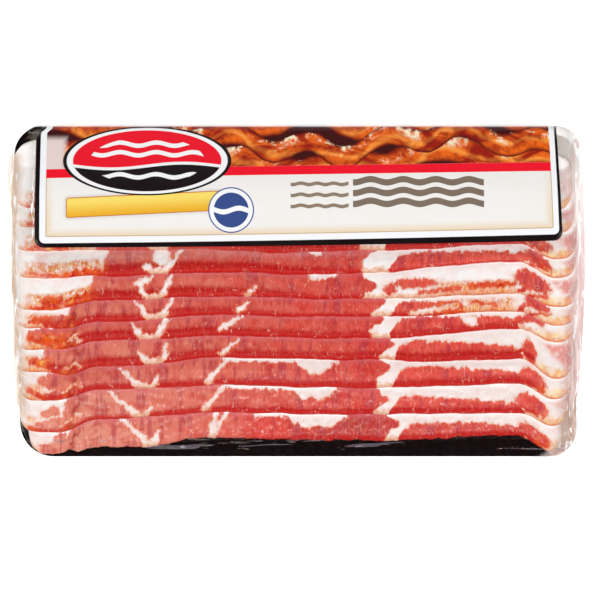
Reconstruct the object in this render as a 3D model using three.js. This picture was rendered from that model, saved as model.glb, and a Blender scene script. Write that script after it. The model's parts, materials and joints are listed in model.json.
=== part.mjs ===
// A sealed pack of thick-sliced bacon: slices laid like roof tiles on a black-lined card,
// whose top folds over the front as the label, in clear film drawn up tight round the edge.
// Millimetres. The pack lies on its back: +X to its right, +Y to its top fold, +Z out of its front.
// The origin is the middle of the footprint, on the surface that the pack lies on.
import * as THREE from "three";

// Pack and film
const packLength = 280;
const packHeight = 161;
const filmThickness = 0.25;
const clearance = 0.3;
const filmPlay = filmThickness + clearance;
const leftBulge = { reach: 2.6, y: 5, spread: 85 };
const rightBulge = { reach: 4.3, y: 18, spread: 72 };
const filmCornerExtra = 0.6;
const filmWall = { endHeight: 6.5, foldHeight: 4.6, frontHeight: 1.7 };

// Card: a back panel, a fold over the top and a label flap down the front
const cardThickness = 0.7;
const cardLeft = { top: -137.6, bottom: -134.1 };
const cardRight = { top: 134.7, bottom: 135.2 };
const cardCorner = { topLeft: 14, topRight: 11, bottomRight: 15, bottomLeft: 16 };
const foldRadius = 3.2;
const foldLeft = -121.2;
const foldRight = 125;
const flapLeft = -126;
const flapRight = { top: 125, bottom: 127 };
const flapEndLeft = 21.8;
const flapEndRight = 25.4;
const flapCorner = 4.3;
const flapSlopeAngle = THREE.MathUtils.degToRad(22);
const flapFrontHeight = 18.6;
const flapFrontY = 45;
const flapFrontSlope = 0.05;
const flapEndSag = 2;

// Slices, from the lowest on the card to the one nearest the fold
const sliceWidth = 33.5;
const sliceThickness = 3.7;
const edgeLevel = [-72.2, -58.3, -45.8, -32.9, -22.6, -12.2, -3.6, 7.9, 19.5, 31.2, 41];
const leftDrop = [6.2, 8.4, 6.0, 6.4, 5.6, 5.8, 5.4, 1.4, 0.2, 0.6, 0.6];
const rightRise = [2.4, 0.6, 1.8, 0.9, 4.5, 2.4, 2.4, 5.8, 3.4, 2.0, 2.0];
const rightDrop = [5.6, 5.8, 5.8, 9.4, 2.0, 4.2, 4.2, 1.5, 3.8, 3.0, 2.0];
const leftKink = -107.5;
const rightKink = 106.5;
const kinkLength = 11;
const riseStart = 45;
const endTaperStart = 100;
const endTaperLength = 36;
const endThinning = 0.42;
const endRoundLength = 10;
const endPlay = { left: 0.3, right: 3.2 };
const edgeRound = [[0, 0.34], [0.5, 0.64], [1.5, 0.88], [3.2, 1]];
const backEdgeRound = 1.2;

const { smoothstep, lerp } = THREE.MathUtils;

const cardBottomZ = filmThickness + clearance;
const cardTopZ = cardBottomZ + cardThickness;
const cardMidZ = cardBottomZ + cardThickness / 2;
const cardHalfHeight = packHeight / 2 - filmPlay;
const foldCentreY = cardHalfHeight - foldRadius - cardThickness / 2;
const foldEndY = foldCentreY + foldRadius * Math.sin(flapSlopeAngle);
const foldEndZ = cardMidZ + foldRadius * (1 + Math.cos(flapSlopeAngle));
const layerStep = sliceThickness + clearance;

// How far a rounded corner pulls the outline in, at a distance from the end of a side.
function cornerInset(distance, radius) {
  const along = Math.max(0, radius - Math.max(0, distance));
  return radius - Math.sqrt(radius * radius - along * along);
}

function sideShare(y) {
  return (cardHalfHeight - y) / (2 * cardHalfHeight);
}

function cardSide(side, y) {
  return lerp(side.top, side.bottom, sideShare(y));
}

function cardEdges(y) {
  const toTop = cardHalfHeight - y;
  const toBottom = y + cardHalfHeight;
  const left = cornerInset(toTop, cardCorner.topLeft) + cornerInset(toBottom, cardCorner.bottomLeft);
  const right = cornerInset(toTop, cardCorner.topRight) + cornerInset(toBottom, cardCorner.bottomRight);
  return [cardSide(cardLeft, y) + left, cardSide(cardRight, y) - right];
}

function bulge(shape, y) {
  return shape.reach * Math.max(0, 1 - ((y - shape.y) / shape.spread) ** 2);
}

// Sides of the film, before its corners: the slices' ends push it out past the card.
function filmSides(y) {
  const left = cardSide(cardLeft, y) - filmPlay - bulge(leftBulge, y);
  const right = cardSide(cardRight, y) + filmPlay + bulge(rightBulge, y);
  return [Math.max(left, -packLength / 2), Math.min(right, packLength / 2)];
}

function filmEdges(y) {
  const toTop = packHeight / 2 - y;
  const toBottom = y + packHeight / 2;
  const [left, right] = filmSides(y);
  const corner = (distance, radius) => cornerInset(distance, radius - filmCornerExtra);
  return [
    left + corner(toTop, cardCorner.topLeft) + corner(toBottom, cardCorner.bottomLeft),
    right - corner(toTop, cardCorner.topRight) - corner(toBottom, cardCorner.bottomRight),
  ];
}

// One closed solid through a row of closed loops with the same number of points.
function loft(loops) {
  const count = loops[0].length;
  const points = loops.flat();
  const index = [];
  for (let i = 0; i + 1 < loops.length; i++) {
    for (let j = 0; j < count; j++) {
      const next = (j + 1) % count;
      const [a, b, c, d] = [i * count + j, i * count + next, (i + 1) * count + next, (i + 1) * count + j];
      index.push(a, b, c, a, c, d);
    }
  }
  const cap = (first, flip) => {
    const loop = points.slice(first, first + count);
    const middle = loop.reduce((sum, p) => sum.add(p), new THREE.Vector3()).divideScalar(count);
    const hub = points.push(middle) - 1;
    for (let j = 0; j < count; j++) {
      const [a, b] = [first + j, first + ((j + 1) % count)];
      index.push(...(flip ? [hub, b, a] : [hub, a, b]));
    }
  };
  cap(0, true);
  cap((loops.length - 1) * count, false);
  const geometry = new THREE.BufferGeometry().setFromPoints(points);
  geometry.setIndex(index);
  geometry.computeVertexNormals();
  return geometry;
}

function mesh(name, geometry, color, roughness) {
  const made = new THREE.Mesh(geometry, new THREE.MeshStandardMaterial({ color, roughness, metalness: 0 }));
  made.name = name;
  return made;
}

// Lower edge of a slice in plan: level in the middle, dropping at both ends past a kink.
function edgeY(k, x) {
  const left = leftDrop[k] * (1 - smoothstep(x, leftKink - kinkLength, leftKink + kinkLength));
  const rise = rightRise[k] * smoothstep(x, riseStart, rightKink - kinkLength / 2);
  const drop = (rightRise[k] + rightDrop[k]) * smoothstep(x, rightKink, rightKink + 1.6 * kinkLength);
  const crown = 1.2 * Math.exp(-(((x + 40) / 30) ** 2));
  return edgeLevel[k] - left + rise - drop + crown;
}

// The stack is pressed thinner towards both ends.
function endThickness(x) {
  return 1 - endThinning * smoothstep(Math.abs(x), endTaperStart, endTaperStart + endTaperLength);
}

// Underside of slice k: it lies on the slices below and runs down to the card behind each one's back edge.
function undersideZ(k, x, y) {
  let layers = 0;
  for (let j = 0; j < k; j++) {
    const backEdge = edgeY(j, x) + sliceWidth;
    const nextBackEdge = edgeY(j + 1, x) + sliceWidth;
    layers += THREE.MathUtils.clamp((nextBackEdge - y) / (nextBackEdge - backEdge), 0, 1);
  }
  return cardTopZ + clearance + layers * layerStep * endThickness(x);
}

function sliceEnds(k) {
  const across = [3, sliceWidth / 2, sliceWidth - 3];
  const lefts = across.map((v) => filmEdges(edgeLevel[k] - leftDrop[k] + v)[0]);
  const rights = across.map((v) => filmEdges(edgeLevel[k] - rightDrop[k] + v)[1]);
  const left = Math.max(...lefts) + filmPlay + endPlay.left * (k % 3);
  const right = Math.min(...rights) - filmPlay - endPlay.right - endPlay.left * ((k + 1) % 3);
  return [left, right];
}

// Places along a slice: close together at its round ends and kinks, wide apart between.
function slicePlaces(k) {
  const [left, right] = sliceEnds(k);
  const ends = [0, 0.03, 0.12, 0.3, 0.6].map((share) => share * endRoundLength);
  const middle = [-126, -121, -117, -113, -109, -105, -101, -96, -84, -62, -40, -18];
  middle.push(10, 45, 70, 92, 99, 104, 108, 112, 116, 120, 125);
  return [...ends.map((d) => left + d), ...middle, ...ends.reverse().map((d) => right - d)];
}

// One cross-section of a slice: along its underside to its back edge, and back over its face.
function sliceLoop(k, x) {
  const [left, right] = sliceEnds(k);
  const toEnd = Math.min(x - left, right - x);
  const share = Math.max(0, 1 - toEnd / endRoundLength);
  const narrowing = (sliceWidth / 2) * (1 - Math.cbrt(Math.max(0.008, 1 - share ** 3)));
  const low = edgeY(k, x) + narrowing;
  const high = edgeY(k, x) + sliceWidth - narrowing;
  const fit = (high - low) / sliceWidth;
  const thickness = sliceThickness * endThickness(x) * (1 - 0.35 * share ** 2);
  const creases = [3, 2, 1]
    .filter((back) => k - back >= 0)
    .map((back) => edgeY(k - back, x) + sliceWidth - low)
    .map((v) => THREE.MathUtils.clamp(v * fit, 0, sliceWidth * fit))
    .filter((v) => v > (edgeRound.at(-1)[0] + 1.5) * fit && v < (sliceWidth - backEdgeRound - 1.5) * fit);
  const at = (v, height) => new THREE.Vector3(x, low + v, undersideZ(k, x, low + v) + height * thickness);
  const plain = Array.from({ length: 3 - creases.length }, (_, i) => (sliceWidth * fit * (i + 1)) / 4.5);
  const inner = [...creases, ...plain].sort((a, b) => a - b);
  return [
    at(0.4 * fit, 0.12),
    at(1.6 * fit, 0),
    ...inner.map((v) => at(v, 0)),
    at((sliceWidth - backEdgeRound) * fit, 0),
    at(sliceWidth * fit, 0.5),
    at((sliceWidth - backEdgeRound) * fit, 1),
    ...inner.toReversed().map((v) => at(v, 1)),
    ...edgeRound.toReversed().map(([v, height]) => at(v * fit, height)),
  ];
}

function slice(k) {
  const loops = slicePlaces(k).map((x) => sliceLoop(k, x));
  const name = `slice_${String(k + 1).padStart(2, "0")}`;
  return mesh(name, loft(loops), k % 2 ? 0xc9473f : 0xd2574b, 0.35);
}

// Middle line of the card's flap, from its fold down the front of the pack.
function flapZ(x, y) {
  const slope = foldEndZ + (foldEndY - y) * Math.tan(flapSlopeAngle);
  const front = flapFrontHeight + (flapFrontY - y) * flapFrontSlope;
  const onSlices = (slope + front - Math.hypot(slope - front, 2)) / 2;
  const share = smoothstep(foldEndY - y, 0, 25);
  return onSlices - flapEndSag * share * smoothstep(Math.abs(x), endTaperStart + 4, 130);
}

// The card as loops round its thickness, from the back panel's lower edge to the flap's.
function cardLoops() {
  const across = Array.from({ length: 11 }, (_, i) => i / 10);
  const ring = (left, right, middle) => {
    const inner = across.map((t) => middle(lerp(left, right, t), 1));
    const outer = across.toReversed().map((t) => middle(lerp(left, right, t), -1));
    return [...inner, ...outer];
  };
  const half = cardThickness / 2;
  const loops = [];
  const cornerSteps = [0.004, 0.06, 0.18, 0.35, 0.6, 1];
  const lower = cornerSteps.map((t) => -cardHalfHeight + t * cardCorner.bottomLeft);
  const upper = cornerSteps.toReversed().map((t) => foldCentreY - t * cardCorner.topLeft);
  for (const y of [...lower, ...upper]) {
    const [left, right] = cardEdges(y < 0 ? y : y + (cardHalfHeight - foldCentreY) * smoothstep(y, 40, 76));
    loops.push(ring(left, right, (x, side) => new THREE.Vector3(x, y, cardMidZ + side * half)));
  }
  const turn = Math.PI - flapSlopeAngle;
  const steps = 7;
  for (let i = 1; i <= steps; i++) {
    const angle = (turn * i) / steps;
    const at = (x, side) => {
      const radius = foldRadius - side * half;
      const y = foldCentreY + radius * Math.sin(angle);
      return new THREE.Vector3(x, y, cardMidZ + foldRadius - radius * Math.cos(angle));
    };
    loops.push(ring(foldLeft, foldRight, at));
  }
  const flapShares = [0.06, 0.12, 0.3, 0.48, 0.54, 0.6, 0.68, 0.8, 0.92];
  const flapCornerShares = [1, 0.6, 0.3, 0.12, 0.02, 0.001];
  const endY = (x) => lerp(flapEndLeft, flapEndRight, (x - flapLeft) / (flapRight.bottom - flapLeft));
  const flapRow = (left, right, yAt) => {
    const at = (x, side) => {
      const y = yAt(x);
      const slope = (flapZ(x, y + 0.1) - flapZ(x, y - 0.1)) / 0.2;
      const normal = new THREE.Vector3(0, slope, -1).normalize();
      return new THREE.Vector3(x, y, flapZ(x, y)).addScaledVector(normal, side * half);
    };
    loops.push(ring(left, right, at));
  };
  for (const share of flapShares) {
    const widening = smoothstep(share, 0.02, 0.12);
    const yAt = (x) => lerp(foldEndY, endY(x) + flapCorner, share);
    flapRow(lerp(foldLeft, flapLeft, widening), lerp(flapRight.top, flapRight.bottom, share), yAt);
  }
  for (const share of flapCornerShares) {
    const inset = cornerInset(share * flapCorner, flapCorner);
    flapRow(flapLeft + inset, flapRight.bottom - inset, (x) => endY(x) + share * flapCorner);
  }
  return loops;
}

function card() {
  return mesh("card", loft(cardLoops()), 0x1c1716, 0.3);
}

// Plan of the film as a loop of points that runs round from the lower left corner.
function filmPlan() {
  const half = packHeight / 2;
  const sideYs = [
    ...[0.004, 0.06, 0.18, 0.35, 0.6, 1].map((t) => -half + t * cardCorner.bottomLeft),
    ...[-48, -32, -16, 0, 16, 32, 44, 56].map((y) => y),
    ...[1, 0.6, 0.35, 0.18, 0.06, 0.004].map((t) => half - t * cardCorner.topLeft),
  ];
  const edgeShares = Array.from({ length: 11 }, (_, i) => (i + 1) / 12);
  const at = (y, side) => new THREE.Vector2(filmEdges(y)[side], y);
  const between = (a, b) => edgeShares.map((t) => new THREE.Vector2(lerp(a.x, b.x, t), a.y));
  const right = sideYs.map((y) => at(y, 1));
  const left = sideYs.toReversed().map((y) => at(y, 0));
  right[0].y = left.at(-1).y = -half;
  right.at(-1).y = left[0].y = half;
  return [...between(left.at(-1), right[0]), ...right, ...between(right.at(-1), left[0]), ...left];
}

// The film's flat back and the wall that it draws up round the pack, open where it lies on the front.
function film() {
  const plan = filmPlan();
  const half = packHeight / 2;
  const inward = plan.map((p, i) => {
    const before = plan[(i + plan.length - 1) % plan.length];
    const after = plan[(i + 1) % plan.length];
    return new THREE.Vector2(before.y - after.y, after.x - before.x).normalize();
  });
  const wallHeight = (p) => {
    const fold = smoothstep(p.y, half - 16, half - 4);
    const front = 1 - smoothstep(p.y, -half + 4, -half + 30);
    return lerp(lerp(filmWall.endHeight, filmWall.foldHeight, fold), filmWall.frontHeight, front);
  };
  const ring = (inset, height) =>
    plan.map((p, i) => {
      const q = p.clone().addScaledVector(inward[i], inset);
      return new THREE.Vector3(q.x, q.y, height(p));
    });
  const flat = (z) => () => z;
  const loops = [
    ring(0, flat(0)),
    ring(0, wallHeight),
    ring(filmThickness, wallHeight),
    ring(filmThickness, flat(filmThickness)),
  ];
  return mesh("film", loft(loops), 0xe8e4e0, 0.1);
}

const pack = new THREE.Group();
pack.add(film(), card());
edgeLevel.forEach((_, k) => pack.add(slice(k)));

export default pack;
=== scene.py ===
"""A sealed pack of raw sliced bacon: shingled slices on a black-lined card with a printed label flap,
under clear film drawn up tight by the vacuum. Everything is in the pack's own frame, in metres,
and the shapes are worked out in millimetres from the same sizes as the solids."""

import json
import math
from types import SimpleNamespace

import bmesh
import bpy
import numpy as np
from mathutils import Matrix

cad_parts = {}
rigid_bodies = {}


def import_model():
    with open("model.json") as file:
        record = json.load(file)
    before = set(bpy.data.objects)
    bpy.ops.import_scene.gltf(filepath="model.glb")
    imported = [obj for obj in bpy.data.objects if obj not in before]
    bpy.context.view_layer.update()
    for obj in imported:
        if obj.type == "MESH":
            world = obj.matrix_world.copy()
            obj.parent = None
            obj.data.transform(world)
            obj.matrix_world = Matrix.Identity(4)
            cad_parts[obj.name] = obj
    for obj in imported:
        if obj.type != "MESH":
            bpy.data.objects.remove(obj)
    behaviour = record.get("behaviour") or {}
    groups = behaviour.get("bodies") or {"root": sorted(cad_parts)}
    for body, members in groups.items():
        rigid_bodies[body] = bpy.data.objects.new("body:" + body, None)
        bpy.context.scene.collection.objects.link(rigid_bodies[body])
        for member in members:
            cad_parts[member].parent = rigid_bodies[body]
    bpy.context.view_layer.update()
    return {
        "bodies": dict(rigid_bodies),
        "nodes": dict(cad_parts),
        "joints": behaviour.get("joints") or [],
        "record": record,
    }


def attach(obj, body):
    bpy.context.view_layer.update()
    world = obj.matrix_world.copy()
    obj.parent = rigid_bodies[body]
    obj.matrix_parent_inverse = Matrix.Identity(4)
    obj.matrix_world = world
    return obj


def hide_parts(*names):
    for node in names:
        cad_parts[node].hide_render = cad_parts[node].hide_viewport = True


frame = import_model()

MM = 0.001
# Corners of a mesh closer than this, in metres, are one
MERGE = 2e-6

# Pack and film
PACK_LENGTH = 280.0
PACK_HEIGHT = 161.0
FILM = 0.25
CLEARANCE = 0.3
FILM_PLAY = FILM + CLEARANCE
LEFT_BULGE = (2.6, 5.0, 85.0)
RIGHT_BULGE = (4.3, 18.0, 72.0)
FILM_CORNER_EXTRA = 0.6
UPPER_LEFT_PUFF = 1.4
FILM_RIM_Z, FILM_BACK_Z = 0.35, 0.02
FILM_LIFT = 0.12
FILM_SUCTION, FILM_STEPS = 0.012, 220

# Card: back panel, fold over the top, label flap down the front
CARD = 0.7
CARD_LEFT = (-137.6, -134.1)
CARD_RIGHT = (134.7, 135.2)
CORNER_TOP_LEFT, CORNER_TOP_RIGHT, CORNER_BOTTOM_RIGHT, CORNER_BOTTOM_LEFT = 14.0, 11.0, 15.0, 16.0
FOLD_RADIUS = 3.2
ROLL_LEFT, FOLD_RIGHT = -123.6, 125.0
FLAP_LEFT = -126.0
FLAP_RIGHT_TOP, FLAP_RIGHT_BOTTOM = 125.0, 127.0
FLAP_END_LEFT, FLAP_END_RIGHT, FLAP_END_BOW = 21.0, 24.4, 0.7
FLAP_CORNER = 4.3
FLAP_SLOPE = math.radians(22)
FLAP_FRONT_HEIGHT = 18.6
FLAP_FRONT_Y = 45.0
FLAP_FRONT_SLOPE = 0.05
FLAP_END_SAG = 2.0
LABEL_TILT = 0.0145

# Slices, from the lowest on the card to the one nearest the fold
SLICE_WIDTH = 33.5
SLICE_THICKNESS = 3.7
EDGE_LEVEL = (-72.2, -58.3, -45.8, -32.9, -22.6, -12.2, -3.6, 7.9, 19.5, 31.2, 41.0)
LEFT_DROP = (6.2, 8.4, 6.0, 6.4, 5.6, 5.8, 5.4, 1.4, 0.2, 0.6, 0.6)
RIGHT_RISE = (2.4, 0.6, 1.8, 0.9, 4.5, 2.4, 2.4, 5.8, 3.4, 2.0, 2.0)
RIGHT_DROP = (5.6, 5.8, 5.8, 9.4, 2.0, 4.2, 4.2, 1.5, 3.8, 3.0, 2.0)
LEFT_KINK, RIGHT_KINK, KINK_LENGTH, RISE_START = -107.5, 106.5, 11.0, 45.0
END_TAPER_START, END_TAPER_LENGTH, END_THINNING = 100.0, 36.0, 0.42
END_ROUND = 10.0
END_PLAY_LEFT, END_PLAY_RIGHT = 0.3, 3.2
EDGE_ROUND = ((0.0, 0.34), (0.5, 0.64), (1.5, 0.88), (3.2, 1.0))
# The soft slices settle on each other and sag a little past their solids: their rounding, and how far
# the left part and the whole of each lower edge come down
SETTLED_ROUND = ((0.0, -0.05), (0.2, 0.32), (0.6, 0.62), (1.5, 0.86), (3.2, 1.0))
LEFT_SAG = (0.0, 2.2, 1.2, 3.4, 1.2, 2.4, 0.8, 0.6, 0.0, 0.0, 0.0)
LOWER_BY = (0.0, 1.1, 0.6, 0.0, 0.0, 0.0, 0.0, 0.0, 0.0, 0.0, 0.0)
# Single slices that bend: middle and spread along the slice, and how far up
LIFT = {3: (75.0, 26.0, -1.4), 7: (58.0, 30.0, 2.0), 8: (-20.0, 28.0, -1.5)}
BACK_EDGE_ROUND = 1.2

CARD_BOTTOM = FILM + CLEARANCE
CARD_TOP = CARD_BOTTOM + CARD
CARD_MIDDLE = CARD_BOTTOM + CARD / 2
CARD_HALF = PACK_HEIGHT / 2 - FILM_PLAY
FOLD_CENTRE_Y = CARD_HALF - FOLD_RADIUS - CARD / 2
FOLD_END_Y = FOLD_CENTRE_Y + FOLD_RADIUS * math.sin(FLAP_SLOPE)
FOLD_END_Z = CARD_MIDDLE + FOLD_RADIUS * (1 + math.cos(FLAP_SLOPE))
LAYER = SLICE_THICKNESS + CLEARANCE

# How much light falls on a face that looks up: a painted white of 1 / LIT comes out as pure white
LIT = 1.25

# Camera straight above: its height in metres, its lens, and how far off the pack's middle it stands
CAMERA_HEIGHT, CAMERA_LENS = 1.5, 185.5
CAMERA_X, CAMERA_Y = 1.2, -4.1


def smooth(x, low, high):
    """0 up to low, 1 from high on, and a soft rise between them."""
    t = np.clip((x - low) / (high - low), 0, 1)
    return t * t * (3 - 2 * t)


def lerp(a, b, t):
    return a + (b - a) * t


def ripple(x, y, size, seed):
    """A smooth uneven field of about -1 to 1 whose lumps are of that size."""
    rng = np.random.default_rng(seed)
    total = 0
    for _ in range(7):
        angle, phase = rng.uniform(0, math.pi), rng.uniform(0, 2 * math.pi)
        wave = 2 * math.pi / (size * rng.uniform(0.7, 1.6))
        total = total + np.sin((x * math.cos(angle) + y * math.sin(angle)) * wave + phase)
    return total / 3.2


def paint(red, green, blue):
    """The linear colour that comes out of the light as this screen colour."""
    screen = [c / 255 for c in (red, green, blue)]
    linear = [((c + 0.055) / 1.055) ** 2.4 if c > 0.04 else c / 12.92 for c in screen]
    return (*[c / LIT for c in linear], 1.0)


# Outlines


def corner_inset(distance, radius):
    """How far a rounded corner draws a side in, at a distance from the corner's end."""
    along = np.clip(radius - np.maximum(distance, 0), 0, None)
    return radius - np.sqrt(radius**2 - along**2)


def card_side(side, y):
    """Place of a side of the card that leans from its top place to its bottom place."""
    return lerp(side[0], side[1], (CARD_HALF - y) / (2 * CARD_HALF))


def card_edges(y):
    top, bottom = CARD_HALF - y, y + CARD_HALF
    left = corner_inset(top, CORNER_TOP_LEFT) + corner_inset(bottom, CORNER_BOTTOM_LEFT)
    right = corner_inset(top, CORNER_TOP_RIGHT) + corner_inset(bottom, CORNER_BOTTOM_RIGHT)
    return card_side(CARD_LEFT, y) + left, card_side(CARD_RIGHT, y) - right


def bulge(shape, y):
    """How far the film stands out from a side: its reach, the height of its middle, and its spread."""
    reach, middle, spread = shape
    return reach * np.clip(1 - ((y - middle) / spread) ** 2, 0, None)


def film_edges(y):
    left = np.maximum(card_side(CARD_LEFT, y) - FILM_PLAY - bulge(LEFT_BULGE, y), -PACK_LENGTH / 2)
    right = np.minimum(card_side(CARD_RIGHT, y) + FILM_PLAY + bulge(RIGHT_BULGE, y), PACK_LENGTH / 2)
    top, bottom = PACK_HEIGHT / 2 - y, y + PACK_HEIGHT / 2
    extra = FILM_CORNER_EXTRA
    left = left + corner_inset(top, CORNER_TOP_LEFT - extra)
    left = left + corner_inset(bottom, CORNER_BOTTOM_LEFT - extra)
    right = right - corner_inset(top, CORNER_TOP_RIGHT - extra)
    right = right - corner_inset(bottom, CORNER_BOTTOM_RIGHT - extra)
    return left, right


# Slices


def edge_y(k, x):
    """Lower edge of a slice in plan: level in the middle, dropping at both ends past a kink."""
    left = LEFT_DROP[k] * (1 - smooth(x, LEFT_KINK - KINK_LENGTH, LEFT_KINK + KINK_LENGTH))
    rise = RIGHT_RISE[k] * smooth(x, RISE_START, RIGHT_KINK - KINK_LENGTH / 2)
    drop = (RIGHT_RISE[k] + RIGHT_DROP[k]) * smooth(x, RIGHT_KINK, RIGHT_KINK + 1.6 * KINK_LENGTH)
    crown = 1.2 * np.exp(-(((x + 40) / 30) ** 2))
    wave = 0.3 * ripple(x, 0 * x, 26, 40 + k) + 0.12 * ripple(x, 0 * x, 6, 60 + k)
    if k == 0:
        wave = wave + 0.3 * ripple(x, 0 * x, 3.6, 61) - 3.4 * (smooth(x, -112, -104) - smooth(x, -72, -46))
    sag = LEFT_SAG[k] * smooth(x, -120, -106) * (1 - smooth(x, -92, -30)) + LOWER_BY[k]
    if k in LIFT:
        middle, spread, lift = LIFT[k]
        wave = wave + lift * np.exp(-(((x - middle) / spread) ** 2))
    return EDGE_LEVEL[k] - left + rise - drop + crown + wave - sag


def end_thickness(x):
    """Share of the thickness that is left towards the ends, where the film squeezes the slices."""
    return 1 - END_THINNING * smooth(np.abs(x), END_TAPER_START, END_TAPER_START + END_TAPER_LENGTH)


def underside_z(k, x, y):
    """Height of a slice's lower face, which rises by a layer for each slice under it."""
    layers = 0
    for j in range(k):
        back = edge_y(j, x) + SLICE_WIDTH
        next_back = edge_y(j + 1, x) + SLICE_WIDTH
        layers = layers + np.clip((next_back - y) / (next_back - back), 0, 1)
    return CARD_TOP + CLEARANCE + layers * LAYER * end_thickness(x)


def slice_ends(k):
    """Left and right end of a slice, inside the film's outline all along its width."""
    across = np.array((3.0, SLICE_WIDTH / 2, SLICE_WIDTH - 3.0))
    left = film_edges(EDGE_LEVEL[k] - LEFT_DROP[k] + across)[0].max()
    right = film_edges(EDGE_LEVEL[k] - RIGHT_DROP[k] + across)[1].min()
    play = END_PLAY_LEFT * ((k + 1) % 3) + END_PLAY_RIGHT
    return left + FILM_PLAY + END_PLAY_LEFT * (k % 3), right - FILM_PLAY - play


def slice_narrowing(k, x):
    """How much the rounded ends narrow a slice, and how far into the rounding a place is."""
    left, right = slice_ends(k)
    share = np.clip(1 - np.minimum(x - left, right - x) / END_ROUND, 0, 1)
    narrowing = SLICE_WIDTH / 2 * (1 - np.cbrt(np.clip(1 - share**3, 0, 1)))
    return narrowing, share


def slice_height(t, rounding=EDGE_ROUND):
    """Share of the full thickness at a distance from the lower edge."""
    front = np.interp(t, [r[0] for r in rounding], [r[1] for r in rounding])
    back = np.interp(SLICE_WIDTH - t, [0, BACK_EDGE_ROUND], [0.5, 1])
    return np.minimum(front, back)


def slice_top(k, x, y):
    """Height of a slice's face, or nothing where the slice isn't."""
    left, right = slice_ends(k)
    narrowing, share = slice_narrowing(k, x)
    low = edge_y(k, x) + narrowing
    high = edge_y(k, x) + SLICE_WIDTH - narrowing
    inside = (x > left) & (x < right) & (y > low) & (y < high)
    t = (y - low) * SLICE_WIDTH / np.maximum(high - low, 0.1)
    thickness = SLICE_THICKNESS * end_thickness(x) * (1 - 0.35 * share**2)
    return np.where(inside, underside_z(k, x, y) + slice_height(t) * thickness, 0)


def flap_z(x, y):
    """Height of the flap: down the slope from the fold, then nearly level on the slices."""
    slope = FOLD_END_Z + (FOLD_END_Y - y) * math.tan(FLAP_SLOPE)
    front = FLAP_FRONT_HEIGHT + (FLAP_FRONT_Y - y) * FLAP_FRONT_SLOPE
    on_slices = (slope + front - np.hypot(slope - front, 2)) / 2
    share = smooth(FOLD_END_Y - y, 0, 25)
    return on_slices - FLAP_END_SAG * share * smooth(np.abs(x), END_TAPER_START + 4, 130)


def roll_left(y):
    """Left end of the fold's lower half, along the pack's rounded corner."""
    return np.minimum(CARD_LEFT[0] + corner_inset(CARD_HALF - y, CORNER_TOP_LEFT), ROLL_LEFT)


def flap_sides(share):
    left = lerp(ROLL_LEFT, FLAP_LEFT, smooth(share, 0.0, 0.08))
    return left, lerp(FLAP_RIGHT_TOP, FLAP_RIGHT_BOTTOM, share)


def flap_end_y(x):
    """Lower end of the flap, slanted and slightly bowed."""
    along = (x - FLAP_LEFT) / (FLAP_RIGHT_BOTTOM - FLAP_LEFT)
    return lerp(FLAP_END_LEFT, FLAP_END_RIGHT, along) - FLAP_END_BOW * 4 * along * (1 - along)


# Making pieces


def grid_mesh(across, along, place):
    """A grid from Blender's own operator, each corner moved to place(column, row) in millimetres."""
    bm = bmesh.new()
    bmesh.ops.create_grid(bm, x_segments=across, y_segments=along, size=0.5)
    bm.verts.ensure_lookup_table()
    flat = np.array([v.co for v in bm.verts])
    column = np.rint((flat[:, 0] + 0.5) * across).astype(int)
    row = np.rint((flat[:, 1] + 0.5) * along).astype(int)
    for vert, point in zip(bm.verts, place(column, row) * MM):
        vert.co = point
    return bm


def piece(name, bm, materials, replaces=()):
    mesh = bpy.data.meshes.new(name)
    for face in bm.faces:
        face.smooth = True
    bm.to_mesh(mesh)
    bm.free()
    for material in materials:
        mesh.materials.append(material)
    made = bpy.data.objects.new(name, mesh)
    bpy.context.scene.collection.objects.link(made)
    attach(made, "root")
    if replaces:
        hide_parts(*replaces)
    return made


def corners_mm(obj):
    co = np.empty(len(obj.data.vertices) * 3)
    obj.data.vertices.foreach_get("co", co)
    return co.reshape(-1, 3) / MM


def mark(obj, name, values):
    obj.data.attributes.new(name, "FLOAT", "POINT").data.foreach_set("value", values.astype(np.float32))


# Marbling of the pork belly, in millimetres: x along the slice, t up from its lower edge.
# Each field is a depth: above 0 inside the fat, below 0 in the lean.

# Where the white fat of each left end stops
LEFT_FAT = (-110.6, -113.0, -114.0, -113.5, -116.0, -109.5, -99.5, -92.3, -95.2, -100.0, -60.0)
# Lean inside the fat of the left ends: from, to, and half widths at both
LEFT_LEAN = (
    ((-122.6, 2.6, -110.0, 2.8, 2.2, 2.8), (-116.6, 7.6, -113.2, 7.2, 1.0, 1.4)),
    (
        (-130.2, 1.0, -119.0, 3.2, 0.5, 3.0),
        (-119.0, 3.2, -110.0, 3.6, 3.0, 3.4),
        (-122.0, 9.2, -117.0, 10.2, 1.2, 1.9),
    ),
    (
        (-130.4, 5.0, -122.0, 1.4, 0.5, 1.5),
        (-122.0, 1.4, -111.0, 3.0, 1.5, 4.0),
        (-121.4, 9.4, -110.0, 9.8, 2.6, 3.4),
    ),
    ((-127.6, 4.8, -112.0, 3.0, 1.4, 3.4), (-118.6, 9.6, -108.0, 9.2, 2.8, 3.2)),
    ((-129.2, 7.0, -113.0, 5.2, 2.2, 5.2), (-118.6, 4.0, -108.0, 4.0, 3.4, 4.4)),
    ((-127.6, 3.8, -114.0, 2.6, 1.0, 3.4), (-114.0, 2.6, -106.0, 2.6, 3.0, 3.2)),
    ((-128.4, 0.6, -121.0, 0.8, 0.5, 1.0), (-119.6, 3.6, -116.6, 3.6, 3.0, 3.2)),
    ((-131.4, 2.2, -114.0, 1.0, 0.0, 0.6),),
    ((-131.4, 1.6, -112.0, 1.2, 0.8, 2.2),),
    ((-131.4, 1.6, -112.0, 1.2, 0.8, 2.2),),
    ((-131.4, 0.6, -112.0, 0.6, 0.6, 1.2),),
)
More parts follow.
